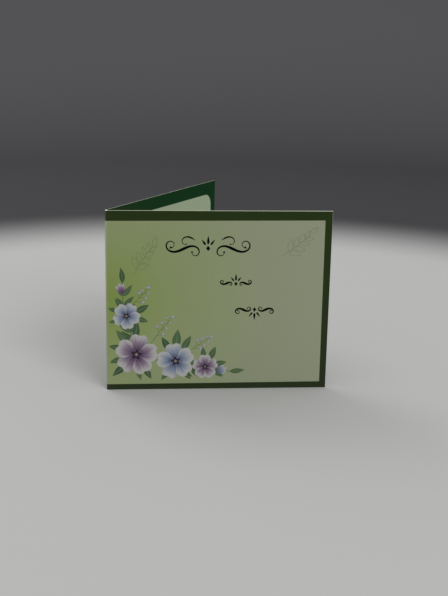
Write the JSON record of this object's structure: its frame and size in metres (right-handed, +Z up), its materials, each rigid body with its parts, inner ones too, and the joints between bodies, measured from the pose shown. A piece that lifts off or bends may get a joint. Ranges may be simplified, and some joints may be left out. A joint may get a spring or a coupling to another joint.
{
  "type": "greeting card",
  "caption": "Folded greeting card that stands open on its bottom edges: a scored sheet of heavy card whose front and back panels meet at an upright fold.",
  "frame": {"origin": "On the surface that the card stands on, under the middle of its bounding box", "axes": "+Z up, +X from the fold towards the free edge of the front panel, -Y the way that the front panel faces"},
  "size_m": [0.108, 0.0916, 0.089],
  "materials": {
    "card_stock": "heavy coated card with a smooth satin face, printed pale green inside a dark green border"
  },
  "bodies": {
    "root": {"folded_card": "card_stock"}
  },
  "joints": []
}
